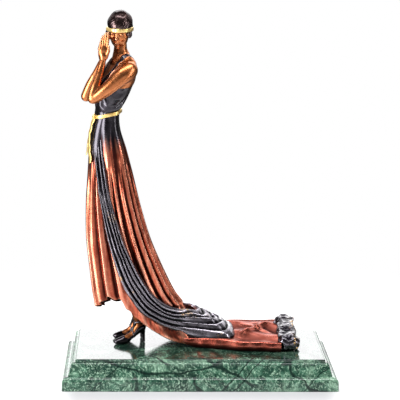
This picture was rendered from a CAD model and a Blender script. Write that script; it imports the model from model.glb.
import math

import bpy
import numpy as np
from mathutils import Matrix, Vector


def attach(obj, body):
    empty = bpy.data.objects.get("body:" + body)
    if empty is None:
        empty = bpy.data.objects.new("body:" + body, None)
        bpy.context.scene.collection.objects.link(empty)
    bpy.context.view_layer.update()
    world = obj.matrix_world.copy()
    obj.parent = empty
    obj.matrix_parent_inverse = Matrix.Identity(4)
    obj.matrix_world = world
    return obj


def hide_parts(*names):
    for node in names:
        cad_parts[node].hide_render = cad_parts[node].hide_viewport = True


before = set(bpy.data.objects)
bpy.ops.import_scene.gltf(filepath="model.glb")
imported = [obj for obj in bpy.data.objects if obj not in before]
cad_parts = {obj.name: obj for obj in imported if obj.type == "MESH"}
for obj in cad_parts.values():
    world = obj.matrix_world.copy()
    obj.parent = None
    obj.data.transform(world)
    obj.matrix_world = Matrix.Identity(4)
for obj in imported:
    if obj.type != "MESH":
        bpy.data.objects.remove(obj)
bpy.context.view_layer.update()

# Lengths of the figure are in figure units, one thousandth of a metre, above the top of the plinth
UNIT = 0.001
FIGURE_BASE = 0.0323
LOWEST_POINT = 0.05
NOISE_SIDE = 32
NOISE_TABLE = np.random.default_rng(20).random((NOISE_SIDE, NOISE_SIDE, NOISE_SIDE)).astype(np.float32)

# Plinth in metres, from the floor up
PLINTH_LENGTH = 0.300
PLINTH_DEPTH = 0.150
PLINTH_HEIGHT = 0.032
FOOT_BAND_HEIGHT = 0.0095
LEDGE_RUN = 0.0062
LEDGE_RISE = 0.0055
RISER_RUN = 0.0034
SHOULDER_RUN = 0.0042
SHOULDER_RISE = 0.0030
TOP_FILLET_HEIGHT = 0.0012
TOP_ROUND = 0.0014
PLINTH_CORNER = 0.0005
MOULDING_STEPS = 12
SLANTED_VEINS = ((0.021, 0.0018), (0.033, 0.0014), (-0.118, 0.0012), (0.112, 0.0013))
SAG_MIDDLE, SAG_HEIGHT, SAG_CURVE = 0.038, 0.016, 2.9

# Level sections of the body and gown: height, centre x, centre y, half depth, half width, turn in degrees
BODY_SECTIONS = (
    (0, -42.0, 12.0, 62.0, 28.0, 0),
    (15, -50.0, 12.0, 58.0, 28.5, 0),
    (30, -58.5, 12.5, 53.0, 29.0, 0),
    (46, -67.0, 13.0, 49.0, 28.5, 0),
    (60, -73.5, 13.0, 45.0, 28.0, 0),
    (92, -83.0, 13.0, 39.0, 27.0, 0),
    (122, -90.5, 12.5, 34.5, 25.5, 0),
    (156, -96.0, 12.0, 29.8, 24.0, 0),
    (190, -99.6, 11.5, 25.2, 22.0, 0),
    (219, -102.6, 10.5, 20.8, 19.5, 2),
    (242, -104.6, 10.0, 16.2, 17.0, 5),
    (260, -103.0, 10.0, 13.8, 14.8, 8),
    (273, -99.8, 10.0, 15.4, 17.5, 13),
    (286, -95.3, 10.0, 17.0, 21.0, 19),
    (297, -91.8, 10.5, 17.8, 24.5, 24),
    (306, -89.8, 10.5, 16.0, 25.5, 26),
    (313, -88.5, 10.5, 12.5, 20.0, 26),
    (319, -88.2, 10.0, 8.5, 12.0, 26),
    (325, -88.6, 9.5, 6.8, 7.5, 26),
)

# The skirt's lower edge seen from the side, x and height, from the front hem back to the floor
HEM_EDGE = ((-121, 30.5), (-114, 40), (-104, 54.5), (-96, 53.5), (-87, 52.5), (-83, 46), (-76, 38.5),
            (-59.5, 24.5), (-36, 10.5), (-16, 3.4), (-4, 0.0))
FAR_HEM_DROP = 13.0
EDGE_STEPS = 60
SCAN_STEPS = 500
GOWN_TOP = 265.0
GOWN_COLUMNS = 440
GOWN_ROWS = 170
LINING_ROWS = 36
CLOTH_THICKNESS = 1.5
PLEATS = 21

# The black overskirt: guide lines on the skirt (x, height) and on the floor (x, distance from axis, height)
SWAG_LOWER_ON_SKIRT = ((-117.5, 250), (-118, 222), (-115, 189), (-111.6, 167), (-105, 133.5),
                       (-99.5, 111), (-88.4, 77), (-81.7, 63), (-66, 41), (-49.4, 29.5), (-32.7, 20.5))
SWAG_UPPER_ON_SKIRT = ((-110, 250), (-107.5, 222), (-102.5, 189), (-98.5, 167), (-89.5, 136),
                       (-82, 114), (-71, 91), (-64, 78), (-50, 58), (-36, 47), (-24, 42))
SWAG_LOWER_ON_FLOOR = ((-16, 24.5, 14.5), (1, 27, 12), (17, 29.5, 12), (30, 28.5, 12), (38, 21, 12),
                       (40.5, 10, 12), (41, 0, 12))
SWAG_UPPER_ON_FLOOR = ((-15, 11, 39.5), (-10, 9, 37.5), (-7, 7, 36), (-5, 5, 35), (-4, 3, 34.5),
                       (-3.5, 1.5, 34), (-3.5, 0, 34))
SWAG_FOLDS = 5
SWAG_SINK = 5.0
SWAG_RINGS = 300
SWAG_POINTS = 96
SWAG_BACK_POINTS = 8

# The train: x and distance of its edge from the axis
DRESS_AXIS_Y = 12.0
TRAIN_END_AXIS_Y = 7.5
TRAIN_EDGE = ((-46, 23.0), (-34, 25.4), (-20, 26.6), (-4, 28.2), (12, 31.2), (34, 37), (62, 40), (88, 41.5))
TRAIN_TOP = 12.0
TRAIN_ROWS = 190
TRAIN_COLUMNS = 150
TRAIN_WALL_POINTS = 14
FOLD_WIDTH = 5.5
ROLL_X = (87.5, 111.0)
ROLL_TOP = 19.8
ROLL_RINGS = 230
ROLL_POINTS = 130
ROLL_SQUARENESS = 0.62

# Limbs: points along the middle, and the radius at each
NEAR_ARM = (((-79, -8, 308.5), 9.3), ((-88, -14.5, 302.3), 8.8), ((-103, -18.5, 289), 6.9),
            ((-116.5, -18.5, 279), 5.0), ((-118.5, -17, 281.5), 4.8), ((-115, -13.5, 293), 4.9),
            ((-110.5, -9, 307), 3.7), ((-107.5, -6, 319), 2.9))
FAR_ARM = (((-98, 31, 306), 8.6), ((-107, 27, 296), 7.4), ((-117, 19, 284), 6.0),
           ((-125.5, 9.5, 277.5), 4.8), ((-126, 8, 280), 4.6), ((-121, 5.5, 292), 4.6),
           ((-113.5, 2, 307), 3.5), ((-108.5, 0.5, 318), 2.9))
NEAR_LEG = (((-79, 6, 100), 8.0), ((-76, 5, 62), 6.5), ((-71.5, 4.5, 34), 3.8), ((-67, 5, 22), 3.5))
FAR_LEG = (((-81, 20, 100), 8.0), ((-77, 21, 62), 6.5), ((-73, 22.5, 34), 3.8), ((-68.5, 24, 22), 3.5))
NECK = (((-88, 11, 306), 8.0), ((-88, 11, 315), 6.4), ((-88.5, 10.8, 325), 5.5), ((-89, 11.0, 340), 5.8))
TORSO_BOTTOM = 253
TORSO_TOP = 323

# Hands: name, arm, lean of the fingers, their lengths along x, and the step in depth between them
HANDS = (("near_hand", NEAR_ARM, 0.3, (10.0, 11.5, 15.5, 16.0), 0.15),
         ("far_hand", FAR_ARM, 2.2, (13.0, 15.0, 15.0, 13.0), 0.3))
FINGER_PLACES = (-4.0, -1.35, 1.35, 4.0)
RING_FROM_WRIST = (2.3, -0.1, 19.6)
RING_RADIUS = 1.75
RING_THICKNESS = 0.42
RING_STEPS = 40
RING_POINTS = 12

# Shoes: heel and toe on the floor, and the radius of a strap
NEAR_SHOE = ((-62, 6.5, 0), (-94.5, -3.5, 0))
FAR_SHOE = ((-64, 25.5, 0), (-96, 21, 0))
STRAP = 1.3

# The head, bent forward and turned to the viewer's side, in degrees
HEAD_CENTRE = np.array([-90.0, 8.0, 350.5])
HEAD_TURN = -15
HEAD_NOD = 19
HEAD_LEAN = 3
BAND_HEIGHT = 351.2
BAND_WIDTH = 4.3
BAND_STEPS = 160
BAND_PROFILE = ((-0.6, -0.5), (0.55, -0.5), (0.8, -0.42), (0.95, -0.2), (0.98, 0.0), (0.95, 0.2), (0.8, 0.42),
                (0.55, 0.5), (-0.6, 0.5))

# Belt; the knot's place and the tails' stations are height, angle from the front and distance off the body
BELT_LOW = 255.6
BELT_RISE = 6.6
BELT_STEPS = 200
BELT_WIDTH = 3.9
BELT_THICKNESS = 1.5
BELT_TAILS = (
    ("belt_tail_front", ((256, 20, 1.6), (246, 19, 1.9), (236, 15, 1.8), (226, 9, 1.9), (218, 4, 1.7),
                         (213, 0, 2.2)), (4.0, 4.4, 4.6, 4.4, 5.4, 3.6)),
    ("belt_tail_side", ((255, 25, 1.8), (246, 23, 2.4), (236, 21, 2.6), (226, 25, 2.4), (215, 32, 2.4),
                        (206, 39, 2.6)), (3.6, 4.0, 4.2, 4.2, 4.8, 3.2)))
TAIL_STEPS = 60
TAIL_THICKNESS = 1.4
KNOT_PLACE = (256.0, 21.0, 1.8)
RIBBON_POINTS = 16

# Blocks of clay: low corner, high corner and step
BUST_BLOCK = ((-136, -32, 249), (-62, 46, 344), 0.55)
FACE_BLOCK = ((-17, -22, -24), (17, 19, 22), 0.3)
HAIR_BLOCK = ((-18, -24, -20), (18, 18, 24), 0.4)
BAND_BLOCK = ((-18, -24, -24), (18, 19, 24), 0.5)
KNOT_BLOCK = ((-128, -10, 246), (-108, 16, 266), 0.3)
LEG_BLOCK = ((-102, -14, -1), (-54, 36, 104), 0.58)
SHOE_BLOCK = ((-104, -14, -1), (-54, 36, 34), 0.36)
HAND_STEP = 0.28
OUTSIDE = 99.0

# Studio: lights have a place, a target, a size and watts; glows are the strengths that the object sees
CAMERA_PLACE = (-0.0662, -1.7165, 0.5388)
CAMERA_YAW = 2.19
CAMERA_TILT = 11.26
CAMERA_ROLL = 0.73
CAMERA_LENS = 142.68
CAMERA_SENSOR = 36
SOFTBOXES = (("left_box", (-1.5, -0.95, 0.4), (-0.05, 0, 0.2), (0.9, 1.9), 60),
             ("right_box", (1.5, -0.5, 0.4), (-0.05, 0, 0.2), (0.16, 1.9), 9),
             ("top_box", (0.05, -0.25, 1.6), (0, 0, 0.1), (1.5, 0.4), 20),
             ("rear_box", (0.12, 0.8, 0.95), (0.03, 0, 0.05), (0.8, 0.25), 2.5))
BACK_PANEL = 4.1
BACK_WALL = 1.8
TABLE_GLOW = 0.95
ROOM_FILL = 0.10
FLOOR_SIZE = 1
FLOOR_SINK = 0.0002


# Numbers and curves

def ease(low, high, value):
    """0 on low's side, 1 on high's side and a smooth step between; low may be the larger."""
    t = np.clip((value - low) / (high - low), 0, 1)
    return t * t * (3 - 2 * t)


def turns(count):
    return np.linspace(0, 2 * np.pi, count, endpoint=False)


def squared_off(wave, power):
    """A sine or cosine that turns a circle into a rounded box."""
    return np.sign(wave) * np.abs(wave) ** power


def rotation(degrees, axis):
    return Matrix.Rotation(math.radians(degrees), 4, axis)


def unit(vectors):
    return vectors / np.linalg.norm(vectors, axis=-1, keepdims=True)


def curve_through(points, count):
    """Points spaced evenly in parameter along a smooth curve through the given ones."""
    knots = np.array(points, dtype=float)
    padded = np.vstack([2 * knots[0] - knots[1], knots, 2 * knots[-1] - knots[-2]])
    places = np.linspace(0, len(knots) - 1, count)
    spans = np.minimum(places.astype(int), len(knots) - 2)
    t = (places - spans)[:, None]
    before, start, end, after = (padded[spans + k] for k in range(4))
    slope_start = 0.5 * (end - before)
    slope_end = 0.5 * (after - start)
    return (start * (2 * t**3 - 3 * t**2 + 1) + slope_start * (t**3 - 2 * t**2 + t)
            + end * (3 * t**2 - 2 * t**3) + slope_end * (t**3 - t**2))


def noise(points, size, octaves=3):
    """Soft random values from -1 to 1 whose blobs are about the given size across."""
    total = np.zeros(points.shape[:-1])
    whole = 0.0
    for octave in range(octaves):
        place = points / size * 2**octave + 7.3 * (octave + 1)
        cell = np.floor(place).astype(int)
        t = ease(0, 1, place - cell)
        value = 0
        for corner in range(8):
            step = np.array([corner & 1, corner >> 1 & 1, corner >> 2 & 1])
            share = np.prod(np.where(step, t, 1 - t), axis=-1)
            at = (cell + step) % NOISE_SIDE
            value = value + share * NOISE_TABLE[at[..., 0], at[..., 1], at[..., 2]]
        weight = 0.5**octave
        total += weight * (2 * value - 1)
        whole += weight
    return total / whole


def axis_y(x):
    """The y of the middle line of the dress and its train."""
    return DRESS_AXIS_Y + (TRAIN_END_AXIS_Y - DRESS_AXIS_Y) * ease(-20, 95, x)


SECTION_TABLE = curve_through(BODY_SECTIONS, 5 * len(BODY_SECTIONS))


def section(height):
    """Centre x, centre y, half depth, half width and turn in radians at each height."""
    columns = [np.interp(height, SECTION_TABLE[:, 0], SECTION_TABLE[:, k]) for k in range(1, 6)]
    columns[4] = np.radians(columns[4])
    return columns


def on_body(height, angle, swell=0.0):
    """Points round the body; angle 0 is the front and a quarter turn is the near side."""
    x, y, depth, width, turn = section(height)
    forward = -(depth + swell) * np.cos(angle)
    across = -(width + swell) * np.sin(angle)
    return np.stack([x + forward * np.cos(turn) - across * np.sin(turn),
                     y + forward * np.sin(turn) + across * np.cos(turn),
                     height + 0 * angle], axis=-1)


def outward_at(height, angle):
    """Directions straight out of the body."""
    return unit(on_body(height, angle, 1.0) - on_body(height, angle))


def body_frame(points):
    """Forward and near-side distances of points from the body's middle line, and the body's half sizes."""
    x, y, depth, width, turn = section(points[..., 2])
    dx = points[..., 0] - x
    dy = points[..., 1] - y
    forward = -(dx * np.cos(turn) + dy * np.sin(turn))
    near = dx * np.sin(turn) - dy * np.cos(turn)
    return forward, near, depth, width


# Meshes

def grid_faces(rows, columns, wrap=True, loop=False, flip=True):
    """Faces of a grid of points: wrap closes each row into a ring, loop joins the last row to the first."""
    across = columns if wrap else columns - 1
    r, c = np.meshgrid(np.arange(rows if loop else rows - 1), np.arange(across), indexing="ij")
    after = (c + 1) % columns
    faces = np.stack([r * columns + c, r * columns + after,
                      (r + 1) * columns + after, (r + 1) * columns + c], axis=-1)
    faces = faces.reshape(-1, 4) % (rows * columns)
    return faces[:, ::-1] if flip else faces


def neighbour_mean(values, faces):
    """Each point's mean over the points that share an edge with it."""
    starts = np.concatenate([faces[:, k] for k in range(4)])
    ends = np.concatenate([faces[:, (k + 1) % 4] for k in range(4)])
    a = np.concatenate([starts, ends])
    b = np.concatenate([ends, starts])
    count = np.maximum(np.bincount(a, minlength=len(values)), 1)
    columns = range(values.shape[1])
    return np.stack([np.bincount(a, values[b, k], len(values)) / count for k in columns], axis=1)


def soften(points, faces, rounds):
    """Points moved half way to their neighbours' mean, once in each round."""
    for _ in range(rounds):
        points = 0.5 * points + 0.5 * neighbour_mean(points, faces)
    return points


def normals_of(points, faces):
    p = points[faces]
    normal = np.cross(p[:, 2] - p[:, 0], p[:, 3] - p[:, 1])
    corners = faces.ravel()
    total = np.stack([np.bincount(corners, np.repeat(normal[:, k], 4), len(points)) for k in range(3)], axis=1)
    return total / np.maximum(np.linalg.norm(total, axis=1), 1e-9)[:, None]


def hollowness(points, faces, rounds, reach):
    """How far each point lies in a crease, from -1 on a crest to 1 in a valley."""
    soft = points
    for _ in range(rounds):
        soft = neighbour_mean(soft, faces)
    inward = np.einsum("ij,ij->i", soft - points, normals_of(points, faces))[:, None]
    for _ in range(3):
        inward = neighbour_mean(inward, faces)
    return np.clip(inward[:, 0] / reach, -1, 1)


def above_plinth(points):
    """Lifts the points that would sink into the plinth's top."""
    points[:, 2] = np.maximum(points[:, 2], LOWEST_POINT)
    return points


def add_mesh(name, points, faces, material):
    mesh = bpy.data.meshes.new(name)
    mesh.from_pydata(np.asarray(points).tolist(), [], [list(face) for face in faces])
    mesh.materials.append(material)
    item = bpy.data.objects.new(name, mesh)
    bpy.context.scene.collection.objects.link(item)
    return item


def stand_for(item, node):
    """Puts a piece on the root body in the place of a CAD node, whose name its slot shares."""
    item.data.update()
    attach(item, "root")
    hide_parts(node)


def piece(name, points, faces, material, **marks):
    """Makes a smooth piece from points in figure units, with its marks as point attributes."""
    item = add_mesh(name, np.asarray(points) * UNIT + np.array([0, 0, FIGURE_BASE]), faces, material)
    item.data.polygons.foreach_set("use_smooth", np.ones(len(faces), bool))
    for mark, values in marks.items():
        layer = item.data.attributes.new(mark, "FLOAT", "POINT")
        layer.data.foreach_set("value", np.full(len(points), values, np.float32))
    stand_for(item, "bronze_figure")


# Modelling in clay: a block of distances that shapes are added to and cut from

def smooth_min(a, b, k):
    h = np.clip(0.5 + 0.5 * (b - a) / k, 0, 1)
    return b + (a - b) * h - k * h * (1 - h)


def ball(centre, half, turn=None):
    centre = np.array(centre, float)
    half = np.array(half, float)
    turn = np.eye(3) if turn is None else turn

    def distance(p):
        q = (p - centre) @ turn
        n = np.linalg.norm(q / half, axis=-1)
        g = np.linalg.norm(q / half**2, axis=-1)
        return n * (n - 1) / np.maximum(g, 1e-6)

    reach = half.max()
    return distance, centre - reach, centre + reach


def bone(start, end, r_start, r_end):
    a = np.array(start, float)
    b = np.array(end, float)
    along = b - a

    def distance(p):
        t = np.clip((p - a) @ along / (along @ along), 0, 1)
        return np.linalg.norm(p - a - t[..., None] * along, axis=-1) - (r_start + (r_end - r_start) * t)

    reach = max(r_start, r_end)
    return distance, np.minimum(a, b) - reach, np.maximum(a, b) + reach


def both(shape):
    """A shape and its mirror image across the plane x = 0."""
    distance, low, high = shape
    flip = np.array([-1, 1, 1])
    return [shape, (lambda p: distance(p * flip), np.minimum(low * flip, high * flip),
                    np.maximum(low * flip, high * flip))]


def chain(stations, per_knot=3):
    """Bones along a smooth line through stations, each a point and its radius."""
    rows = curve_through([(*place, radius) for place, radius in stations], per_knot * (len(stations) - 1) + 1)
    return [bone(a[:3], b[:3], a[3], b[3]) for a, b in zip(rows, rows[1:])]


def chain_distance(points, stations):
    return np.min([shape[0](points) for shape in chain(stations)], axis=0)


class Clay:
    """A block of distances on a grid; the surface lies where the distance is zero."""

    def __init__(self, low, high, step):
        self.low = np.array(low, float)
        self.step = step
        self.count = np.ceil((np.array(high) - self.low) / step).astype(int) + 1
        self.value = np.full(self.count, OUTSIDE, np.float32)

    def window(self, low, high):
        """The part of the block between two corners, as slices and as points."""
        start = np.clip(np.floor((low - self.low) / self.step).astype(int), 0, self.count - 1)
        stop = np.clip(np.ceil((high - self.low) / self.step).astype(int) + 1, 1, self.count)
        place = tuple(slice(a, b) for a, b in zip(start, stop))
        axes = [self.low[k] + self.step * np.arange(start[k], stop[k]) for k in range(3)]
        return place, np.stack(np.meshgrid(*axes, indexing="ij"), axis=-1)

    def spots(self):
        return self.window(self.low, self.low + self.step * self.count)[1]

    def at(self, points):
        """The value at the spot nearest to each point."""
        index = np.clip(np.rint((points - self.low) / self.step).astype(int), 0, self.count - 1)
        return self.value[index[..., 0], index[..., 1], index[..., 2]]

    def add(self, shapes, k, sign=1):
        """Joins shapes to the clay with a fillet of about k; the sign is -1 for a cut."""
        margin = k + 1.5 + 0.5 * sign
        for distance, low, high in ([shapes] if isinstance(shapes, tuple) else shapes):
            place, points = self.window(low - margin, high + margin)
            self.value[place] = sign * smooth_min(sign * self.value[place], distance(points), k)

    def cut(self, shapes, k):
        self.add(shapes, k, -1)

    def keep(self, distance):
        """Leaves only what lies where the given distance is below zero."""
        self.value = np.maximum(self.value, distance(self.spots())).astype(np.float32)

    def skin(self, soft_rounds):
        """Points, softened a little, and faces of the surface where the distance is zero."""
        f = self.value
        f[[0, -1]] = OUTSIDE
        f[:, [0, -1]] = OUTSIDE
        f[:, :, [0, -1]] = OUTSIDE
        inside = f < 0
        size = np.array(f.shape) - 1
        total = sum(inside[i:size[0] + i, j:size[1] + j, k:size[2] + k].astype(np.int8)
                    for i in (0, 1) for j in (0, 1) for k in (0, 1))
        cells = np.argwhere((total > 0) & (total < 8))
        number = np.full(tuple(size), -1)
        number[tuple(cells.T)] = np.arange(len(cells))
        spot = np.zeros((len(cells), 3))
        crossed = np.zeros(len(cells))
        for axis in range(3):
            for i, j in ((0, 0), (0, 1), (1, 0), (1, 1)):
                start = np.insert([i, j], axis, 0)
                end = np.insert([i, j], axis, 1)
                a = f[tuple((cells + start).T)]
                b = f[tuple((cells + end).T)]
                change = (a < 0) != (b < 0)
                t = np.where(change, a / np.where(change, a - b, 1), 0)
                spot += (start + t[:, None] * (end - start)) * change[:, None]
                crossed += change
        points = self.low + self.step * (cells + spot / crossed[:, None])
        faces = []
        for axis in range(3):
            b, c = [k for k in range(3) if k != axis]
            first = inside.take(range(size[axis]), axis)
            edges = np.argwhere(first != inside.take(range(1, size[axis] + 1), axis))
            edges = edges[(edges[:, b] > 0) & (edges[:, c] > 0)]
            quads = np.stack([number[tuple((edges - np.insert(back, axis, 0)).T)]
                              for back in ((1, 1), (0, 1), (0, 0), (1, 0))], axis=1)
            outward = first[tuple(edges.T)] ^ (axis == 1)
            quads[~outward] = quads[~outward][:, ::-1]
            faces.append(quads)
        faces = np.vstack(faces)
        return soften(points, faces, soft_rounds), faces


# Looks

class Nodes:
    """A node tree and short ways to add to it."""

    def __init__(self, tree):
        self.tree = tree

    def put(self, kind, sockets=None, **settings):
        node = self.tree.nodes.new("ShaderNode" + kind)
        for key, value in settings.items():
            setattr(node, key, value)
        for key, value in (sockets or {}).items():
            self.plug(node.inputs[key], value)
        return node

    def plug(self, socket, value):
        if isinstance(value, bpy.types.NodeSocket):
            self.tree.links.new(value, socket)
        elif socket.type == "RGBA":
            socket.default_value = (*value, 1.0)
        else:
            socket.default_value = value

    def remap(self, value, low, high, to_low=0.0, to_high=1.0):
        return self.put("MapRange", {"Value": value, "From Min": low, "From Max": high, "To Min": to_low,
                                     "To Max": to_high}, interpolation_type="SMOOTHSTEP").outputs[0]

    def math(self, operation, a, b=0):
        return self.put("Math", {0: a, 1: b}, operation=operation).outputs[0]

    def plus(self, a, b):
        return self.math("ADD", a, b)

    def times(self, a, b):
        return self.math("MULTIPLY", a, b)


class Look(Nodes):
    """A material and its nodes."""

    def __init__(self, name):
        self.material = bpy.data.materials.new(name)
        self.material.use_nodes = True
        super().__init__(self.material.node_tree)
        self.shader = self.tree.nodes["Principled BSDF"]

    def finish(self, sockets):
        for key, value in sockets.items():
            self.plug(self.shader.inputs[key], value)
        return self.material

    def mark(self, name):
        return self.put("Attribute", attribute_name=name).outputs["Fac"]

    def places(self):
        return self.put("TexCoord").outputs["Object"]

    def vector(self, operation, a, b):
        sockets = {0: a, "Scale" if operation == "SCALE" else 1: b}
        return self.put("VectorMath", sockets, operation=operation).outputs[0]

    def blobs(self, place, scale, detail=2.0, roughness=0.5, distortion=0.0):
        sockets = {"Vector": place, "Scale": scale, "Detail": detail, "Roughness": roughness,
                   "Distortion": distortion}
        return self.put("TexNoise", sockets).outputs

    def grain(self, size, detail, distortion=0.0, stretch=None):
        place = self.places()
        if stretch:
            place = self.put("Mapping", {"Vector": place, "Scale": stretch}).outputs[0]
        return self.blobs(place, 1 / size, detail, 0.55, distortion)[0]

    def stripes(self, place, scale, distortion, detail, roughness, detail_scale=1.0):
        sockets = {"Vector": place, "Scale": scale, "Distortion": distortion, "Detail": detail,
                   "Detail Scale": detail_scale, "Detail Roughness": roughness}
        return self.put("TexWave", sockets, bands_direction="DIAGONAL").outputs[1]

    def blend(self, share, a, b):
        return self.put("Mix", {0: share, 6: a, 7: b}, data_type="RGBA").outputs[2]

    def layers(self, colour, *pairs):
        """Lays colours over one another, each with its share."""
        for share, tone in pairs:
            colour = self.blend(share, colour, tone)
        return colour

    def bump(self, height, strength, distance):
        return self.put("Bump", {"Height": height, "Strength": strength, "Distance": distance}).outputs[0]


def patina(name, tone, warm, deep, rub, roughness, black=None, gilt=False, pitting=0.00005, coat=0.15,
           streaks=False, edge=0.5, metal=1.0):
    """Coloured bronze: two tones, dark creases and rubbed crests, with an optional black patina."""
    look = Look(name)
    cloud = look.remap(look.grain(0.011, 2, 0.6), 0.32, 0.68)
    speck = look.grain(0.0016, 2)
    colour = look.blend(cloud, tone, warm)
    rough = look.remap(look.grain(0.006, 2), 0.3, 0.7, roughness * 0.88, roughness * 1.15)
    hollow = look.mark("hollow")
    sunk = look.remap(hollow, 0.04, 0.75)
    crest = look.remap(hollow, -0.15, -0.9)
    surface = look.plus(look.times(speck, 0.04), look.grain(0.012, 3))
    if streaks:
        run = look.grain(0.0050, 1.0, stretch=(1.0, 1.0, 0.04))
        colour = look.layers(colour, (look.remap(run, 0.52, 0.72, 0, 0.35), rub),
                             (look.remap(run, 0.46, 0.30, 0, 0.55), deep))
        surface = look.plus(surface, look.times(run, 0.3))
    if black:
        dark = look.blend(cloud, black, [c * 1.8 for c in black])
        cover = look.remap(look.plus(look.mark("black"), look.remap(speck, 0, 1, -0.06, 0.06)), 0.12, 0.88)
        colour = look.blend(cover, colour, dark)
        deep = look.blend(cover, deep, (0.006, 0.005, 0.007))
        rub = look.blend(cover, rub, (0.50, 0.46, 0.53))
        coat = look.remap(cover, 0, 1, coat, 0.75)
    colour = look.layers(colour, (look.times(sunk, 0.93), deep), (look.times(crest, 0.55), rub),
                         (look.remap(speck, 0.55, 0.75, 0.0, 0.06), deep))
    if gilt:
        worn = look.times(look.mark("gilt"), look.remap(look.grain(0.003, 4), 0.42, 0.56))
        colour = look.blend(worn, colour, (0.72, 0.42, 0.12))
    return look.finish({
        "Base Color": colour, "Metallic": metal, "Roughness": look.plus(rough, look.times(sunk, 0.18)),
        "Specular Tint": (edge, edge, edge), "Normal": look.bump(surface, 0.6, pitting),
        "Coat Weight": look.times(look.remap(sunk, 0, 0.8, 1, 0.05), coat), "Coat Roughness": 0.14})


def marble(name):
    """Polished green breccia with pale mottling and a net of dark veins."""
    look = Look(name)
    place = look.places()
    wander = look.vector("SUBTRACT", look.blobs(place, 22.0, 4.0)[1], (0.5, 0.5, 0.5))
    wander = look.vector("SCALE", wander, 0.035)
    warped = look.vector("ADD", place, wander)
    slant = look.put("Mapping", {"Vector": warped, "Rotation": (0.4, 0.9, 0.5),
                                 "Scale": (1.0, 0.55, 1.0)}).outputs[0]

    broad = look.blobs(slant, 95.0, 9.0, 0.80)[0]
    ramp = look.put("ValToRGB", {"Fac": broad})
    stops = ramp.color_ramp.elements
    stops[0].position, stops[0].color = 0.34, (0.005, 0.018, 0.013, 1)
    stops[1].position, stops[1].color = 0.72, (0.40, 0.58, 0.45, 1)
    for position, colour in ((0.43, (0.015, 0.050, 0.033, 1)), (0.51, (0.036, 0.110, 0.068, 1)),
                             (0.60, (0.095, 0.220, 0.145, 1))):
        stops.new(position).color = colour
    cloud = look.remap(look.blobs(slant, 38.0, 3.0)[0], 0.52, 0.68)
    shade = look.remap(look.blobs(warped, 27.0, 3.0)[0], 0.48, 0.34)
    flecks = look.blobs(slant, 420.0, 5.0, 0.8)[0]
    veins = look.remap(look.stripes(warped, 9.0, 7.0, 4.0, 0.6, 1.2), 0.10, 0.0, 0, 0.95)
    where = look.remap(look.blobs(place, 12.0)[0], 0.40, 0.52)
    fine = look.stripes(slant, 34.0, 12.0, 5.0, 0.65)
    colour = look.layers(
        ramp.outputs[0], (look.times(cloud, 0.6), (0.26, 0.43, 0.30)),
        (look.times(shade, 0.8), (0.008, 0.030, 0.021)),
        (look.remap(flecks, 0.52, 0.61, 0, 0.9), (0.38, 0.57, 0.42)),
        (look.remap(flecks, 0.47, 0.36, 0, 0.9), (0.010, 0.034, 0.026)),
        (look.times(veins, where), (0.005, 0.018, 0.014)),
        (look.remap(fine, 0.14, 0.0, 0, 0.6), (0.008, 0.028, 0.021)))

    # Slanted veins and a sagging one on the front, which run on over the top
    vein = (0.004, 0.016, 0.012)
    bent = look.vector("ADD", place, look.vector("SCALE", wander, 0.4))
    x, y, z = look.put("SeparateXYZ", {"Vector": bent}).outputs
    depth = look.plus(y, PLINTH_DEPTH / 2)
    slope = look.math("SUBTRACT", x, look.plus(z, look.times(depth, 0.4)))
    for offset, width in SLANTED_VEINS:
        away = look.math("ABSOLUTE", look.math("SUBTRACT", slope, offset))
        colour = look.blend(look.remap(away, width, width * 0.25, 0, 0.9), colour, vein)
    sag = look.math("POWER", look.math("ABSOLUTE", look.plus(x, SAG_MIDDLE)), 2.0)
    sag = look.plus(look.times(sag, SAG_CURVE), SAG_HEIGHT)
    away = look.math("SUBTRACT", look.math("SUBTRACT", z, sag), look.times(depth, 0.2))
    here = look.remap(look.math("ABSOLUTE", away), 0.0016, 0.0004, 0, 0.9)
    on_top = look.remap(z, PLINTH_HEIGHT - 0.0014, PLINTH_HEIGHT - 0.0006, 0, 0.7)
    colour = look.layers(colour, (look.times(here, look.remap(x, 0.035, 0.02)), vein),
                         (on_top, (0.006, 0.022, 0.015)))
    return look.finish({"Base Color": colour, "Roughness": look.remap(flecks, 0.3, 0.7, 0.14, 0.09),
                        "IOR": 1.5, "Normal": look.bump(broad, 0.05, 0.0003)})


BLACK = (0.020, 0.017, 0.023)
GOWN_LOOK = patina("gown_patina", (0.44, 0.088, 0.048), (0.60, 0.165, 0.090), (0.020, 0.004, 0.004),
                   (0.88, 0.44, 0.30), 0.27, black=BLACK, gilt=True, pitting=0.00006, streaks=True)
TRAIN_LOOK = patina("train_patina", (0.34, 0.072, 0.046), (0.46, 0.130, 0.090), (0.030, 0.008, 0.008),
                    (1.0, 0.62, 0.50), 0.26)
SKIN_LOOK = patina("skin_patina", (0.49, 0.155, 0.050), (0.59, 0.210, 0.076), (0.040, 0.010, 0.005),
                   (0.93, 0.56, 0.34), 0.32, black=BLACK, pitting=0.00006, coat=0.3)
HAIR_LOOK = patina("hair_patina", (0.060, 0.036, 0.036), (0.095, 0.056, 0.052), (0.005, 0.004, 0.005),
                   (0.20, 0.155, 0.165), 0.25, pitting=0.00008, coat=0.35, edge=0.25)
GOLD_LOOK = patina("gilded_patina", (1.0, 0.64, 0.16), (1.0, 0.72, 0.25), (0.36, 0.14, 0.02),
                   (1.0, 0.78, 0.36), 0.33, edge=0.9, metal=0.78)
SHOE_LOOK = patina("shoe_patina", (0.026, 0.022, 0.028), (0.045, 0.038, 0.045), (0.004, 0.003, 0.004),
                   (0.16, 0.14, 0.15), 0.18, coat=0.5)
MARBLE_LOOK = marble("polished_green_marble")


# Plinth

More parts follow.
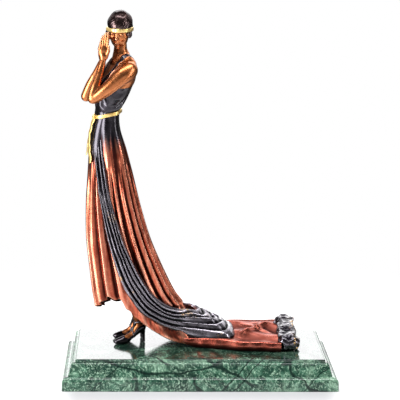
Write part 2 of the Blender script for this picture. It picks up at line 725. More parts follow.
def quarter_round(start, run, rise):
    """Steps of a convex moulding from start, inward and up."""
    angles = np.linspace(0, np.pi / 2, MOULDING_STEPS + 1)[1:]
    return [(start[0] + run * (1 - math.cos(a)), start[1] + rise * math.sin(a)) for a in angles]


def plinth():
    fixed_rise = FOOT_BAND_HEIGHT + LEDGE_RISE + SHOULDER_RISE + TOP_FILLET_HEIGHT + TOP_ROUND
    steps = [(PLINTH_CORNER, 0.0), (0.0, PLINTH_CORNER), (0.0, FOOT_BAND_HEIGHT)]
    steps += quarter_round(steps[-1], LEDGE_RUN, LEDGE_RISE)
    run, rise = steps[-1]
    steps.append((run + RISER_RUN, rise + PLINTH_HEIGHT - fixed_rise))
    steps += quarter_round(steps[-1], SHOULDER_RUN, SHOULDER_RISE)
    run, rise = steps[-1]
    steps.append((run, rise + TOP_FILLET_HEIGHT))
    steps += quarter_round(steps[-1], TOP_ROUND, TOP_ROUND)
    rings = []
    for inset, height in steps:
        x = PLINTH_LENGTH / 2 - inset
        y = PLINTH_DEPTH / 2 - inset
        c = PLINTH_CORNER
        rings.append([(-x + c, -y, height), (x - c, -y, height), (x, -y + c, height), (x, y - c, height),
                      (x - c, y, height), (-x + c, y, height), (-x, y - c, height), (-x, -y + c, height)])
    points = np.array(rings).reshape(-1, 3)
    corners = len(rings[0])
    faces = grid_faces(len(rings), corners, flip=False).tolist()
    faces.append(list(range(corners))[::-1])
    faces.append(list(range(len(points) - corners, len(points))))
    stand_for(add_mesh("moulded_marble_plinth", points, faces, MARBLE_LOOK), "marble_plinth")


# Gown

def hem_height(x, y):
    """The skirt's lower edge; the far side hangs lower than the near side at the front."""
    edge = curve_through(HEM_EDGE, EDGE_STEPS)
    far = ease(6, 26, y) * ease(-118, -106, x) * ease(-74, -90, x)
    ruffle = 1.2 * np.sin(x * 0.55) * ease(-60, -80, x) * ease(-119, -112, x)
    return np.maximum(np.interp(x, edge[:, 0], edge[:, 1]) - FAR_HEM_DROP * far + ruffle, 0)


def pleat_wave(angle, height):
    """Pleats from 0 in a valley to 1 on a ridge, of uneven width, wandering a little as they fall."""
    phase = PLEATS * (angle + 0.045 * np.sin(3 * angle + 0.7) + 0.03 * np.sin(5 * angle - 1.0))
    phase = phase + 0.5 * np.sin(0.017 * height + 2 * angle) + 0.25 * np.sin(0.05 * height + 5 * angle)
    narrow = np.sqrt(np.cos(phase / 2) ** 2 + 0.05)
    broad = np.sqrt(np.cos(phase / 6 + 0.9) ** 2 + 0.05)
    gather = ease(165, 225, height)
    return narrow * (1 - gather) + broad * gather, phase


def guide_x(guide, height):
    """The x of a guide line on the skirt at each height."""
    x, z = np.array(guide)[::-1].T
    return np.interp(height, z, x)


def under_swag(x, height):
    """How surely a point of the skirt's side lies under the black overskirt, from 0 to 1."""
    left = guide_x(SWAG_LOWER_ON_SKIRT, height)
    right = guide_x(SWAG_UPPER_ON_SKIRT, height)
    return ease(left - 0.5, left + 2.0, x) * ease(right + 0.5, right - 2.0, x)


def strip_below_swag(x, height):
    """How surely a point lies on the smooth strip of skirt between the overskirt and the hem."""
    left = guide_x(SWAG_LOWER_ON_SKIRT, height)
    return ease(left + 3.0, left - 1.0, x) * ease(-92, -82, x) * ease(75, 60, height)


def gown_swell(angles, heights):
    """Height of the pleats above the bare body, and the pleats' own wave."""
    ridge, phase = pleat_wave(angles, heights)
    x = on_body(heights, angles + 0 * heights)[..., 0]
    depth = 0.25 + 1.0 * ease(262, 215, heights) + 2.3 * ease(200, 90, heights)
    by_floor = ease(26, 18, heights) * ease(-62, -50, x)
    depth = depth * (1 - 0.85 * np.maximum(strip_below_swag(x, heights), by_floor))
    ahead = ease(0.2, 0.9, np.cos(angles))
    flare = ease(-52, -26, x) * ease(6, -32, x) * ease(26, 12, heights)
    under_pile = ease(46, 40, heights) * ease(22, 30, heights) * ease(-36, -28, x)
    beneath = under_swag(x, heights) * ease(190, 150, heights) * ease(17, 25, heights)
    swell = depth * (2.0 * ridge - 1.95 + 0.45 * ahead) + 1.5 * ahead * ease(50, 32, heights)
    swell = swell + 0.1 * depth * np.cos(2.6 * phase + 1.0) * ease(230, 190, heights)
    return swell + 3.6 * flare - 3.0 * under_pile - 3.0 * beneath, ridge


def hem_line(angles):
    """Height of the hem at each angle, where the body's side going down first meets the hem's edge."""
    scan = np.linspace(GOWN_TOP, 0, SCAN_STEPS)[:, None]
    bare = on_body(scan + 0 * angles, angles)
    over = scan - hem_height(bare[..., 0], bare[..., 1])
    crossed = over <= 0
    first = np.where(crossed.any(axis=0), np.argmax(crossed, axis=0), SCAN_STEPS - 1)
    before = np.maximum(first - 1, 0)
    columns = np.arange(GOWN_COLUMNS)
    above = over[before, columns]
    share = np.clip(above / np.maximum(above - over[first, columns], 1e-6), 0, 1)
    return scan[before, 0] * (1 - share) + scan[first, 0] * share


def gown_layer(angles, bottom, down, inward):
    """Points of the skirt at shares of the way down to the hem, moved inward, and their pleats."""
    heights = GOWN_TOP + (bottom - GOWN_TOP) * down[:, None]
    swell, ridge = gown_swell(angles, heights)
    return on_body(heights, angles + 0 * heights, swell - inward), ridge


def gown():
    angles = turns(GOWN_COLUMNS)[None, :]
    bottom = hem_line(angles)
    outer, ridge = gown_layer(angles, bottom, np.linspace(0, 1, GOWN_ROWS), 0)
    outer[..., :2] += 0.4 * noise(outer * (1, 1, 0.25), 14.0, 1)[..., None]
    inner, inner_ridge = gown_layer(angles, bottom, np.linspace(1, 0.25, LINING_ROWS), CLOTH_THICKNESS)
    points = above_plinth(np.vstack([outer, inner]).reshape(-1, 3))
    faces = grid_faces(GOWN_ROWS + LINING_ROWS, GOWN_COLUMNS)
    x, z = points[:, 0], points[:, 2]
    ridges = np.vstack([ridge, inner_ridge]).ravel()
    forward, near, depth, _ = body_frame(points)
    front = ease(0.2, 0.9, forward / np.maximum(depth, 1))
    valley = ease(0.84, 0.28, ridges) * (1 - 0.8 * strip_below_swag(x, z)) * (1 - 0.55 * front)
    folded = (0.9 * valley - 0.45 * ease(0.86, 1.02, ridges)) * ease(262, 215, z)
    hollow = np.clip(hollowness(points, faces, 14, 1.8) + folded, -1, 1)
    fade = 228 - 22 * front + 4 * np.cos(PLEATS * np.arctan2(near, forward)) + 5 * noise(points, 12.0)
    black = np.maximum(ease(-26, 20, z - fade), under_swag(x, z) * ease(120, 150, z))
    lining = slice(GOWN_ROWS * GOWN_COLUMNS, None)
    hollow[lining] = 0.8
    black[lining] = 0
    piece("pleated_gown", points, faces, GOWN_LOOK, hollow=hollow, black=black, gilt=0)


def skirt_side(x, height):
    """The skirt's half width at a place along its depth."""
    centre, _, depth, width, _ = section(height)
    share = min(abs(x - centre) / depth, 0.97)
    return width * math.sqrt(1 - share * share)


def swag_guide(on_skirt, on_floor):
    points = [(x, skirt_side(x, z), z) for x, z in on_skirt] + list(on_floor)
    return curve_through(points, SWAG_RINGS)[:, None, :]


def swag():
    """The black overskirt, a long U of ridged cloth between its two guide lines."""
    lower = swag_guide(SWAG_LOWER_ON_SKIRT, SWAG_LOWER_ON_FLOOR)
    upper = swag_guide(SWAG_UPPER_ON_SKIRT, SWAG_UPPER_ON_FLOOR)
    v = np.linspace(0, 1, SWAG_POINTS)[None, :]
    back = np.linspace(1, 0, SWAG_BACK_POINTS)[None, :]
    down = np.linspace(0, 1, SWAG_RINGS)[:, None]
    on_floor = ease(0.52, 0.72, down)
    shown = ease(0.0, 0.12, down)
    finer = ease(0.10, 0.28, down)
    halves, marks = [], []
    for side in (0, 1):
        wander = 0.035 * np.sin(7 * down + 2.3 * side + 4 * v) + 0.02 * np.sin(23 * down + 9 * v + side)
        place = v + wander * np.sin(np.pi * v)
        ridge = sum(share * np.abs(np.sin(np.pi * folds * place)) ** 0.8
                    for share, folds in ((1 - finer, SWAG_FOLDS - 2), (finer, SWAG_FOLDS)))
        uneven = 0.8 + 0.25 * np.sin(2 * np.pi * (1.5 * place + 2.0 * down + 0.3 * side))
        body = (1.6 + 0.8 * on_floor) * np.sin(np.pi * v)
        steps = 1 - 0.62 * on_floor * ease(0.5, 0.05, v)
        raised = shown * steps * (body + (3.2 + 1.4 * on_floor) * ridge * uneven)
        raised = raised + 2.0 * on_floor * ease(0, 0.06, v) * (1 - v) + 0.35 * shown
        cloth = lower + (upper - lower) * v[..., None]
        cloth[..., 1] += (1 - on_floor) * raised
        cloth[..., 2] += on_floor * raised
        backing = lower + (upper - lower) * back[..., None]
        backing[..., 1] -= (1 - on_floor) * SWAG_SINK
        backing[..., 2] = backing[..., 2] * (1 - on_floor) + SWAG_SINK * on_floor
        ring = np.concatenate([cloth, backing], axis=1)
        ring[..., 1] = axis_y(ring[..., 0]) + ring[..., 1] * (1 if side else -1)
        halves.append(ring)
        worn = ease(0.35, 0.1, ridge) - ease(0.45, 0.9, ridge)
        worn = worn * (0.25 + 0.2 * ease(0.20, 0.45, down) + 0.45 * on_floor)
        marks.append(np.concatenate([worn, 0 * (back + down)], axis=1))
    rings = np.concatenate([halves[0], halves[1][-2::-1]])
    marks = np.concatenate([marks[0], marks[1][-2::-1]]).ravel()
    points = rings.reshape(-1, 3)
    points = points + 0.35 * noise(points, 8.0, 2)[:, None] * np.array([0.5, 1, 1])
    faces = grid_faces(len(rings), rings.shape[1])
    hollow = np.clip(hollowness(points, faces, 12, 0.7) + marks, -1, 1)
    gilt = 0.6 * ease(-0.2, -0.8, hollow) * ease(0.35, 0.6, noise(points, 14.0))
    piece("black_overskirt", points, faces, GOWN_LOOK, hollow=hollow, black=1, gilt=gilt)


def train():
    """The train on the plinth: a waved top, and an upright edge of cloth along each side."""
    edge = curve_through(TRAIN_EDGE, EDGE_STEPS)
    xs = np.linspace(TRAIN_EDGE[0][0], TRAIN_EDGE[-1][0] + 2, TRAIN_ROWS)[:, None]
    s = np.linspace(-1, 1, TRAIN_COLUMNS)[None, :]
    y = axis_y(xs) + s * (np.interp(xs, edge[:, 0], edge[:, 1]) + 0.8 * np.sin(xs * 0.16) * ease(-10, 20, xs))
    folds = 0
    for share, slant, rise, fall in ((1.0, y - 1.15 * (xs - 50), (42, 56), (88, 66)),
                                     (0.75, y - 22.0 + 0.8 * (xs - 62), (44, 62), (88, 74))):
        folds = folds + share * np.exp(-(slant / FOLD_WIDTH) ** 2) * ease(*rise, xs) * ease(*fall, xs)
    flat = np.stack([xs + 0 * s, y, 0 * y], axis=-1)
    wave = (1.5 * np.sin(s * 6.5 + xs * 0.05) + 0.9 * np.sin(s * 4.0 - xs * 0.11 + 1) + 3.0 * folds
            + 0.5 * noise(flat * (0.5, 1, 1), 18.0, 1))
    height = np.maximum(TRAIN_TOP + wave * (1 - s**8) + 2.0 * s, hem_height(xs, 0 * xs) + 3.0)
    rim = 0.9 * np.exp(-((np.abs(s) - 0.965) / 0.02) ** 2)
    top = np.stack([xs + 0 * s, y, height + rim], axis=-1)
    lift = np.linspace(0, 1, TRAIN_WALL_POINTS)[None, :]
    fall = np.sin(xs * 0.33 + 1.2 * np.sin(xs * 0.09))
    bulge = 1.1 * np.sin(np.pi * lift**0.8) + 1.5 * fall * lift * (1 - lift) - 1.2 * (1 - lift) ** 3
    walls = []
    for end, outward in ((0, -1), (-1, 1)):
        corner = top[:, [end]]
        wall = np.repeat(corner, TRAIN_WALL_POINTS, axis=1)
        wall[..., 1] += outward * bulge
        foot = hem_height(corner[..., 0], 0 * corner[..., 0])
        wall[..., 2] = foot + (corner[..., 2] - foot) * lift
        walls.append(wall[:, :-1])
    rings = np.concatenate([walls[0], top, walls[1][:, ::-1]], axis=1)
    points = above_plinth(rings.reshape(-1, 3))
    faces = grid_faces(TRAIN_ROWS, rings.shape[1], wrap=False)
    folds = np.pad(folds, ((0, 0), (TRAIN_WALL_POINTS - 1, TRAIN_WALL_POINTS - 1)))
    hollow = np.clip(hollowness(points, faces, 24, 0.65) + 0.3 - 1.3 * folds.ravel(), -1, 1)
    hollow = np.maximum(hollow, 0.85 * ease(8.0, 0.2, points[:, 2]))
    piece("train_on_plinth", points, faces, TRAIN_LOOK, hollow=hollow)


def hem_roll():
    """The ruffled black hem at the train's end, a crumpled roll that stands higher at the far side."""
    reach = TRAIN_EDGE[-1][1]
    middle = sum(ROLL_X) / 2
    radius = (ROLL_X[1] - ROLL_X[0]) / 2
    s = np.linspace(-1, 1, ROLL_RINGS)[:, None]
    angle = turns(ROLL_POINTS)[None, :]
    rounding = np.sqrt(np.clip(1 - np.abs(s) ** 14, 0, 1))
    cosine = squared_off(np.cos(angle), ROLL_SQUARENESS)
    sine = squared_off(np.sin(angle), ROLL_SQUARENESS)
    half_height = ROLL_TOP / 2 * (1.0 + 0.14 * s)
    lump = 1 + 0.05 * np.sin(5 * angle + 7 * s) + 0.04 * np.sin(11 * s + 2 * angle)
    rings = np.stack([middle + radius * lump * rounding * cosine, axis_y(middle) + reach * s + 0 * angle,
                      half_height + half_height * lump * rounding * sine], axis=-1)
    creases = 1 - np.abs(noise(rings * (0.8, 0.6, 1.0), 9.0, 1)) * 2
    ruffle = 1 - np.abs(noise(rings + 40, 4.5, 1)) * 2
    push = (2.4 * (creases - 0.6) + 0.8 * (ruffle - 0.6)) * rounding
    rings[..., 0] += push * cosine
    rings[..., 2] += push * sine
    points = above_plinth(rings.reshape(-1, 3))
    faces = grid_faces(ROLL_RINGS, ROLL_POINTS)
    hollow = hollowness(points, faces, 10, 0.5)
    gilt = ease(-0.1, -0.6, hollow) * ease(0.0, 0.3, noise(points, 6.0))
    gilt = gilt * ease(middle, middle + 6, points[:, 0])
    piece("ruffled_hem_roll", points, faces, GOWN_LOOK, hollow=hollow, black=1, gilt=gilt)


# Body

def torso_distance(points):
    """Distance to the body's sections between the waist and the neck; it is slimmer under the gown's top."""
    forward, near, depth, width = body_frame(points)
    q = np.sqrt((forward / depth) ** 2 + (near / width) ** 2)
    z = points[..., 2]
    side = (q - 1) * np.minimum(depth, width) + 1.6 * ease(264, 256, z)
    return np.maximum(np.maximum(side, TORSO_BOTTOM - z), z - TORSO_TOP)


def bust_clay():
    clay = Clay(*BUST_BLOCK)
    clay.add((torso_distance, np.array([-125.0, -25.0, 250.0]), np.array([-62.0, 42.0, 326.0])), 1.0)
    clay.add([ball((-103.0, -1.5, 288), (7.5, 8, 8)), ball((-109.0, 13.5, 288), (7.5, 8, 8))], 7.0)
    clay.add(chain(NECK), 4.0)
    clay.add([bone((-85.0, 10.0, 321.5), (-78.2, -1, 314.0), 6.0, 6.8),
              bone((-88.5, 13.0, 322), (-95.5, 26, 313.0), 4.6, 6.4)], 5.0)
    for stations in (NEAR_ARM, FAR_ARM):
        arm = Clay(*BUST_BLOCK)
        arm.add(chain(stations, 5), 1.5)
        clay.value = smooth_min(clay.value, arm.value, 3.0)
    # Collar bones, and the two cords of the neck
    clay.add([bone((-98.0, 3.0, 316.0), (-85.0, -7.0, 314.5), 1.0, 1.3),
              bone((-98.5, 5.0, 316.0), (-99.5, 23.0, 313.5), 1.0, 1.3)], 2.5)
    clay.add([bone((-85.5, 6.5, 334), (-95.0, 4.0, 317.5), 1.5, 1.1),
              bone((-92.5, 13.5, 333), (-97.0, 6.5, 317.0), 1.4, 1.1)], 4.0)
    return clay


def bust():
    points, faces = bust_clay().skin(6)
    forward, near, _, _ = body_frame(points)
    height = points[:, 2]
    side = np.abs(near)
    limb = np.minimum(chain_distance(points, NEAR_ARM), chain_distance(points, FAR_ARM))

    # Skin shows in the neckline, the arm holes and the arms, and the rest is the black bodice
    neckline = np.where(forward > 0, 294 + np.where(near > 0, 1.55, 3.2) * side, 309 + 0.35 * side)
    open_neck = ease(-0.5, 0.5, height - neckline) * ease(9.3, 8.6, side)
    arm_hole = ease(12.4, 11.6, np.hypot(side - 22.5, height - 301)) * ease(287, 289, height)
    shoulder = ease(12.6, 13.3, side) * ease(298, 301, height)
    black = 1 - np.maximum.reduce([open_neck, arm_hole, shoulder, ease(1.4, 0.8, limb),
                                   ease(325, 326, height)])
    drape = np.sin(0.70 * near + 0.10 * height + 2.5 * noise(points, 18.0))
    cloth = 0.45 * ease(262, 267, height) + drape * ease(294, 274, height) * ease(263, 271, height)
    points = points + normals_of(points, faces) * (cloth * black)[:, None]

    # Creases are darker, and so are the hollow between the arms, the throat and the bare chest
    x, height = points[:, 0], points[:, 2]
    recess = (ease(-93, -97, x + 0.45 * (321 - height)) * ease(322, 318, height) * ease(284, 292, height)
              * ease(0.8, 2.5, limb) * ease(0, 3, forward))
    throat = ease(-84, -90, x) * ease(312, 320, height) * ease(1, 3, limb)
    chest = ease(2, 5, forward) * ease(322, 314, height) * ease(284, 292, height) * open_neck
    creases = hollowness(points, faces, 16, 0.55)
    hollow = np.maximum.reduce([creases, 0.85 * recess, 0.42 * throat, 0.48 * chest])
    piece("torso_and_arms", points, faces, SKIN_LOOK, hollow=hollow, black=black)


def hand_clay(wrist, lean, lengths, depth_step):
    """A palm with a thumb and four fingers that points up from the wrist."""
    x, y, z = wrist
    clay = Clay((x - 9, y - 7, z - 5), (x + 13, y + 7, z + 34), HAND_STEP)
    clay.add([ball((x + 0.4, y, z + 8.0), (4.9, 2.3, 8.8)),
              bone((x, y, z - 3), (x + 0.3, y, z + 4), 2.9, 3.2)], 2.0)
    clay.add([bone((x + 3.4, y - 0.8, z + 3), (x + 6.0, y - 1.6, z + 10), 2.0, 1.6),
              bone((x + 6.0, y - 1.6, z + 10), (x + 6.4, y - 1.4, z + 15.5), 1.6, 1.1)], 1.2)
    for k, (offset, length) in enumerate(zip(FINGER_PLACES, lengths)):
        root = np.array([x + 0.6 + offset, y + depth_step * k, z + 12.5])
        tip = np.array([x + 1.8 + offset * 0.9 + lean, y + 0.3 + depth_step * k, z + 13.4 + length])
        middle = (root + tip) / 2 - np.array([0, 0.5, 0])
        clay.add([bone(root, middle, 1.5, 1.32), bone(middle, tip, 1.32, 0.95)], 0.45)
    return clay


def hands():
    for name, arm, *form in HANDS:
        points, faces = hand_clay(arm[-1][0], *form).skin(2)
        piece(name, points, faces, SKIN_LOOK, hollow=hollowness(points, faces, 14, 0.3), black=0)


def finger_ring():
    a = turns(RING_STEPS)[:, None]
    b = turns(RING_POINTS)[None, :]
    away = RING_RADIUS + RING_THICKNESS * np.cos(b)
    rings = np.stack([away * np.cos(a), away * np.sin(a), RING_THICKNESS * np.sin(b) + 0 * a], axis=-1)
    points = rings.reshape(-1, 3) + np.add(NEAR_ARM[-1][0], RING_FROM_WRIST)
    piece("finger_ring", points, grid_faces(RING_STEPS, RING_POINTS, loop=True), GOLD_LOOK, hollow=0)


# Head: across to her left, forward, and up, from the middle of the head

def head_axes():
    turn = rotation(HEAD_TURN, "Z") @ rotation(HEAD_NOD, "X") @ rotation(HEAD_LEAN, "Y")
    return np.array([(turn @ Vector(axis))[:] for axis in ((1, 0, 0), (0, -1, 0), (0, 0, 1))])


HEAD_AXES = head_axes()


def from_head(points):
    """Points of the head moved to their place on the figure."""
    return points @ HEAD_AXES + HEAD_CENTRE


def face_clay():
    clay = Clay(*FACE_BLOCK)
    # Skull, jaw, chin, cheeks and brows
    clay.add(ball((0, -3.0, 6.0), (12.4, 15.2, 13.2)), 1.0)
    clay.add(ball((0, 1.2, -4.0), (10.4, 11.2, 14.0)), 4.0)
    clay.add(ball((0, 3.2, -11.6), (7.2, 7.6, 6.6)), 4.0)
    clay.add(ball((0, 9.0, -16.8), (2.6, 2.4, 2.2)), 3.0)
    clay.add(both(ball((6.0, 6.9, -5.4), (3.6, 3.2, 3.2))), 3.0)
    clay.add(both(bone((2.0, 11.6, 2.4), (7.4, 9.2, 2.9), 1.0, 0.9)), 2.0)
    # Eye sockets and nose
    clay.cut(both(ball((4.9, 13.6, -0.7), (3.3, 2.6, 1.9))), 2.0)
    clay.add(bone((0, 11.0, 1.6), (0, 13.7, -4.6), 0.95, 1.15), 1.8)
    clay.add(ball((0, 13.9, -5.2), (1.35, 1.4, 1.25)), 0.9)
    clay.add(both(ball((1.65, 12.6, -5.8), (0.95, 1.2, 0.9))), 0.8)
    clay.cut(both(ball((0.8, 13.5, -6.75), (0.4, 0.55, 0.4))), 0.3)
    # Mouth
    clay.add(ball((0, 8.9, -10.4), (4.0, 3.0, 3.4)), 2.2)
    clay.add(both(bone((0.35, 12.15, -9.35), (2.7, 10.9, -9.95), 0.62, 0.35)), 0.6)
    clay.add(bone((-1.2, 11.75, -11.1), (1.2, 11.75, -11.1), 0.82, 0.82), 0.9)
    clay.cut(both(bone((0, 12.75, -10.15), (3.0, 11.35, -10.2), 0.2, 0.16)), 0.35)
    clay.cut(bone((0, 12.3, -7.4), (0, 12.5, -8.4), 0.3, 0.4), 0.6)
    clay.cut(bone((-1.3, 12.0, -13.2), (1.3, 12.0, -13.2), 0.5, 0.5), 1.6)
    # Lowered eyelids
    clay.add(both(ball((4.9, 9.0, -0.9), (2.5, 2.35, 1.75))), 0.35)
    clay.add(both(ball((4.9, 9.15, -0.55), (2.75, 2.5, 1.55))), 0.3)
    clay.cut(both(bone((2.5, 11.35, -1.75), (7.3, 10.1, -1.7), 0.2, 0.14)), 0.25)
    clay.cut(both(bone((2.9, 11.5, 1.05), (7.2, 10.2, 0.95), 0.16, 0.12)), 0.4)
    return clay


def hair_limits(points):
    """Below zero where hair grows: over the skull, behind a line in front of the ears, above the nape."""
    forward, up = points[..., 1], points[..., 2]
    front = forward - (6.0 + 1.35 * (up + 1.5))
    nape = (-11.5 - 0.25 * forward) - up
    crown = 5.8 - up
    return np.maximum(np.minimum(front, crown), nape)


def hair_clay():
    clay = Clay(*HAIR_BLOCK)
    clay.add(ball((0, -3.2, 6.2), (13.6, 16.4, 14.4)), 1.0)
    clay.add(ball((0, -6.0, -2.0), (12.4, 12.0, 11.0)), 4.0)
    clay.keep(hair_limits)
    clay.add(both(ball((11.8, 2.8, -2.6), (2.8, 3.8, 4.4))), 1.2)
    clay.add(both(bone((11.5, 5.6, -3.8), (10.8, 6.6, -0.8), 1.25, 1.0)), 0.8)
    clay.add(both(bone((10.8, 6.6, -0.8), (10.9, 4.6, 0.6), 1.0, 0.9)), 0.8)
    return clay


def head():
    points, faces = face_clay().skin(1)
    hollow = hollowness(points, faces, 14, 0.33)
    piece("head", from_head(points), faces[:, ::-1], SKIN_LOOK, hollow=hollow, black=0)

    points, faces = hair_clay().skin(3)
    across, forward, up = (points - np.array([1.5, -2.0, 6.0])).T
    around = np.arctan2(across, forward)
    tall = np.arctan2(up, np.hypot(across, forward))
    waves = np.sin(7.5 * tall + 1.3 * np.sin(2 * around) + 0.8 * noise(points, 10.0))
    strands = np.sin(26 * around + 4.0 * waves + 2.5 * noise(points, 8.0))
    spread = ease(1.45, 1.0, tall)
    relief = 0.24 * waves * (0.35 + 0.65 * spread) + 0.08 * strands * spread
    points = points + normals_of(points, faces) * relief[:, None]
    piece("hair", from_head(points), faces[:, ::-1], HAIR_LOOK, hollow=hollowness(points, faces, 10, 0.3))


def headband():
    """A gilded band, level round the head, whose radius follows the hair and the forehead."""
    clay = Clay(*BAND_BLOCK)
    clay.value = np.minimum(face_clay().at(clay.spots()), hair_clay().at(clay.spots()))
    angles = turns(BAND_STEPS)[:, None]
    outward = np.stack([np.cos(angles), np.sin(angles), 0 * angles], axis=-1)
    middle = np.array([HEAD_CENTRE[0] + 0.3, HEAD_CENTRE[1] + 1.5, BAND_HEIGHT])
    reach = np.linspace(0, 22, 300)[None, :]
    inside = clay.at((middle + reach[..., None] * outward - HEAD_CENTRE) @ HEAD_AXES.T) < 0
    radii = np.max(reach * inside, axis=1)
    for turn in range(14):
        mean = 0.25 * np.roll(radii, 1) + 0.5 * radii + 0.25 * np.roll(radii, -1)
        radii = np.maximum(radii, mean) if turn < 10 else mean
    out, up = np.array(BAND_PROFILE).T
    studs = 0.3 * np.maximum(0, np.sin(16 * angles)) ** 6 * (np.abs(up) < 0.3)
    radius = radii[:, None] + out - studs
    rings = middle + radius[..., None] * outward
    rings[..., 2] += up * BAND_WIDTH + 0.35 * np.cos(2 * angles)
    points = rings.reshape(-1, 3)
    faces = grid_faces(BAND_STEPS, len(BAND_PROFILE), loop=True)
    piece("headband", points, faces, GOLD_LOOK, hollow=hollowness(points, faces, 3, 0.25))


# Belt

def ribbon(name, centres, outward, width, thickness, closed=False):
    """A flat strip with rounded edges that runs through centres, its face turned outward."""
    along = np.roll(centres, -1, axis=0) - np.roll(centres, 1, axis=0)
    if not closed:
        along[0] = centres[1] - centres[0]
        along[-1] = centres[-1] - centres[-2]
    across = unit(np.cross(unit(along), outward))
    a = turns(RIBBON_POINTS)
    half_width = np.outer(width * np.ones(len(centres)), squared_off(np.cos(a), 0.6) / 2)
    half_depth = squared_off(np.sin(a), 0.6) * thickness / 2
    rings = centres[:, None] + across[:, None] * half_width[..., None]
    points = (rings + outward[:, None] * half_depth[:, None]).reshape(-1, 3)
    quads = grid_faces(len(centres), RIBBON_POINTS, loop=closed)
    faces = quads.tolist()
    if not closed:
        faces.append(list(range(RIBBON_POINTS)))
        faces.append(list(range(len(points) - RIBBON_POINTS, len(points)))[::-1])
    piece(name, points, faces, GOLD_LOOK, hollow=hollowness(points, quads, 4, 0.3))


def belt():
    angles = turns(BELT_STEPS)
    heights = BELT_LOW + BELT_RISE * (1 - np.cos(angles)) / 2 + 0.25 * np.sin(5 * angles)
    ribbon("belt", on_body(heights, angles, 1.0 + 0.15 * np.sin(9 * angles)), outward_at(heights, angles),
           BELT_WIDTH, BELT_THICKNESS, closed=True)
    for name, stations, widths in BELT_TAILS:
        height, angle, away = curve_through(stations, TAIL_STEPS).T
        angle = np.radians(angle) + 0.03 * np.sin(0.6 * height)
        width = np.interp(np.linspace(0, len(widths) - 1, TAIL_STEPS), range(len(widths)), widths)
        ribbon(name, on_body(height, angle, away), outward_at(height, angle), width, TAIL_THICKNESS)

    height, angle, away = KNOT_PLACE
    x, y, z = on_body(height, np.radians(angle), away)
    clay = Clay(*KNOT_BLOCK)
    clay.add(ball((x, y, z), (2.0, 2.6, 2.6)), 0.5)
    clay.add([bone((x + 0.4, y + 2.4, z + 1.8), (x - 0.6, y - 2.4, z - 1.2), 1.35, 1.35),
              bone((x + 0.4, y - 2.6, z + 2.0), (x - 0.6, y + 2.0, z - 2.2), 1.25, 1.25)], 0.5)
    points, faces = clay.skin(1)
    piece("belt_knot", points, faces, GOLD_LOOK, hollow=hollowness(points, faces, 8, 0.3))


# Feet

def add_foot(skin, shoes, leg, heel, toe):
    """A foot on tiptoe in an open shoe with a high heel, two straps on the instep and one round the ankle."""
    heel = np.array(heel, float)
    length = np.linalg.norm(toe - heel)
    along = (toe - heel) / length
    up = np.array([0, 0, 1.0])
    across = np.cross(up, along)

    def at(run, rise):
        return heel + along * run + up * rise

    stations = [(at(run, rise), radius) for run, rise, radius in (
        (1.5, 18.4, 3.7), (6.0, 15.4, 3.3), (13.0, 9.8, 3.0),
        (length - 11.0, 4.4, 3.4), (length - 3.2, 2.6, 2.1))]
    instep = stations[2][0]
    ankle = leg[-1][0]
    skin.add(chain(leg), 2.0)
    skin.add(chain(stations, 2), 2.0)
    skin.add(bone(ankle, instep + up * 0.4, 3.2, 2.6), 2.0)
    skin.add(bone(ankle, stations[0][0], 3.5, 3.4), 2.0)

    shell = Clay(*SHOE_BLOCK)
    shell.add(chain([(place, radius + 0.75) for place, radius in stations], 2), 2.0)
    shell.add(ball(at(length - 8.5, 3.0), (9.2, 4.9, 3.3), np.array([along, across, up]).T), 2.0)

    def open_top(points):
        run = (points - heel) @ along
        middle = np.interp(run, (0, 4, 13, length - 11, length - 3, length), (18.4, 17, 10.9, 4.5, 2.8, 2.4))
        rise = np.interp(run, (-3, 3, 9, 13, 19, 22.5, 24), (5.2, 4.8, 3.0, -0.6, -0.9, 2.6, 9))
        return points[..., 2] - middle - rise

    shell.keep(open_top)
    shoes.value = np.minimum(shoes.value, shell.value)
    # Heel, then the sole down to the ball of the foot
    shoes.add([bone(at(0, 0.5), at(0.3, 8), 1.9, 1.75), bone(at(0.3, 8), at(1.4, 16.5), 1.75, 3.6)], 1.2)
    shoes.add(bone(at(2, 15), at(15, 8.8), 2.6, 1.6), 1.5)
    shoes.add(bone(at(15, 8.8), at(length - 11, 1.6), 1.6, 1.5), 1.5)
    loop = [ankle + up * (3.0 - 1.5 * math.cos(a)) + along * 4.9 * math.cos(a) + across * 4.7 * math.sin(a)
            for a in np.linspace(0, 2 * np.pi, 17)]
    shoes.add([bone(a, b, STRAP, STRAP) for a, b in zip(loop, loop[1:])], 0.3)
    for sign in (-1, 1):
        low = instep + across * 3.6 * sign - up * 1.6 - along
        bridge = instep + up * 4.6 + along * 0.2 + across * 1.2 * sign
        shoes.add([bone(low, bridge, STRAP, STRAP),
                   bone(bridge, loop[0] - across * 2.0 * sign, STRAP, STRAP)], 0.3)


def feet():
    skin = Clay(*LEG_BLOCK)
    shoes = Clay(*SHOE_BLOCK)
    add_foot(skin, shoes, NEAR_LEG, *NEAR_SHOE)
    add_foot(skin, shoes, FAR_LEG, *FAR_SHOE)
    for clay, name, look in ((skin, "legs_and_feet", SKIN_LOOK), (shoes, "shoes", SHOE_LOOK)):
        clay.keep(lambda points: 0.1 - points[..., 2])
        points, faces = clay.skin(2)
        points = above_plinth(points)
        hollow = hollowness(points, faces, 10, 0.4)
        if clay is skin:
            shade = 0.25 + 0.3 * ease(18, 30, points[:, 2]) + 0.4 * ease(-71, -65, points[:, 0])
            hollow = np.maximum(hollow, shade)
        piece(name, points, faces, look, hollow=hollow, black=0)


# Studio

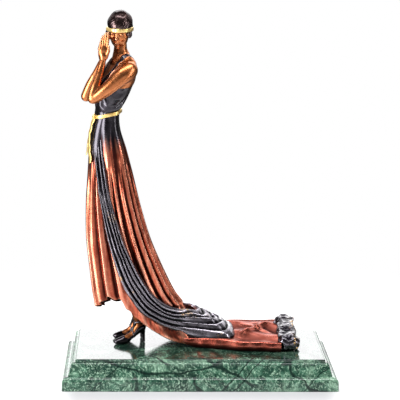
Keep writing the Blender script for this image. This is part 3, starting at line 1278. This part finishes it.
def camera():
    data = bpy.data.cameras.new("camera")
    data.lens = CAMERA_LENS
    data.sensor_width = CAMERA_SENSOR
    item = bpy.data.objects.new("camera", data)
    item.matrix_world = (Matrix.Translation(CAMERA_PLACE) @ rotation(-CAMERA_YAW, "Z")
                         @ rotation(90 - CAMERA_TILT, "X") @ rotation(CAMERA_ROLL, "Z"))
    bpy.context.scene.collection.objects.link(item)
    bpy.context.scene.camera = item


def softbox(name, place, target, size, power):
    data = bpy.data.lights.new(name, "AREA")
    data.shape = "RECTANGLE"
    data.size, data.size_y = size
    data.energy = power
    item = bpy.data.objects.new(name, data)
    item.location = place
    item.rotation_euler = (Vector(target) - Vector(place)).to_track_quat("-Z", "Y").to_euler()
    bpy.context.scene.collection.objects.link(item)


def floor():
    """A pale floor, shaded in front of the plinth, that fades away into the white round it."""
    look = Look("pale_floor")
    x, y, _ = look.put("SeparateXYZ", {"Vector": look.places()}).outputs
    front = -PLINTH_DEPTH / 2
    beside = look.remap(look.math("ABSOLUTE", x), PLINTH_LENGTH / 2 + 0.02, PLINTH_LENGTH / 2 - 0.02)
    shade = look.times(beside, look.times(look.remap(y, front - 0.14, front), look.remap(y, 0, front)))
    look.finish({"Base Color": look.blend(shade, (0.93, 0.93, 0.93), (0.62, 0.62, 0.64)),
                 "Emission Color": (1.0, 1.0, 1.0), "Emission Strength": look.remap(shade, 0, 1, 0.34, 0.0),
                 "Roughness": 0.9, "Specular IOR Level": 0.1})
    away = look.put("VectorMath", {0: look.places()}, operation="LENGTH").outputs["Value"]
    mix = look.put("MixShader", {0: look.remap(away, 0.22, 0.55), 1: look.shader.outputs[0],
                                 2: look.put("BsdfTransparent").outputs[0]})
    look.plug(look.tree.nodes["Material Output"].inputs["Surface"], mix.outputs[0])
    corners = [(FLOOR_SIZE * a, FLOOR_SIZE * b, -FLOOR_SINK) for a, b in ((-1, -1), (1, -1), (1, 1), (-1, 1))]
    add_mesh("floor", corners, [(0, 1, 2, 3)], look.material)


def room():
    """White to the camera; to the object, a dim room, a white table and one low panel behind the plinth."""
    world = bpy.data.worlds.new("studio")
    bpy.context.scene.world = world
    world.use_nodes = True
    world.node_tree.nodes.clear()
    sky = Nodes(world.node_tree)
    axes = sky.put("SeparateXYZ", {0: sky.put("TexCoord").outputs["Generated"]}).outputs

    def window(axis, outer, inner):
        return sky.remap(axes[axis], outer, inner)

    table = sky.times(window("Y", -0.35, -0.80), window("Z", 0.10, -0.08))
    panel = sky.times(window("X", -0.20, -0.13), window("X", 0.28, 0.20))
    wall = sky.times(window("X", -0.85, -0.6), window("X", 0.85, 0.6))
    behind = sky.plus(sky.remap(panel, 0, 1, 0, BACK_PANEL - BACK_WALL), sky.remap(wall, 0, 1, 0, BACK_WALL))
    behind = sky.times(behind, sky.times(window("Z", 0.02, 0.10), window("Z", 0.60, 0.45)))
    behind = sky.times(behind, window("Y", 0.2, 0.45))
    glow = sky.plus(sky.remap(table, 0, 1, ROOM_FILL, TABLE_GLOW), behind)
    seen = sky.put("Background", {"Color": (1, 1, 1), "Strength": 1.0})
    felt = sky.put("Background", {"Color": (1.0, 0.99, 1.0), "Strength": glow})
    mix = sky.put("MixShader", {0: sky.put("LightPath").outputs["Is Camera Ray"], 1: felt.outputs[0],
                                2: seen.outputs[0]})
    sky.put("OutputWorld", {"Surface": mix.outputs[0]})


def studio():
    camera()
    floor()
    room()
    for box in SOFTBOXES:
        softbox(*box)
    bpy.context.scene.view_settings.view_transform = "Standard"


plinth()
gown()
swag()
train()
hem_roll()
bust()
hands()
finger_ring()
head()
headband()
belt()
feet()
studio()
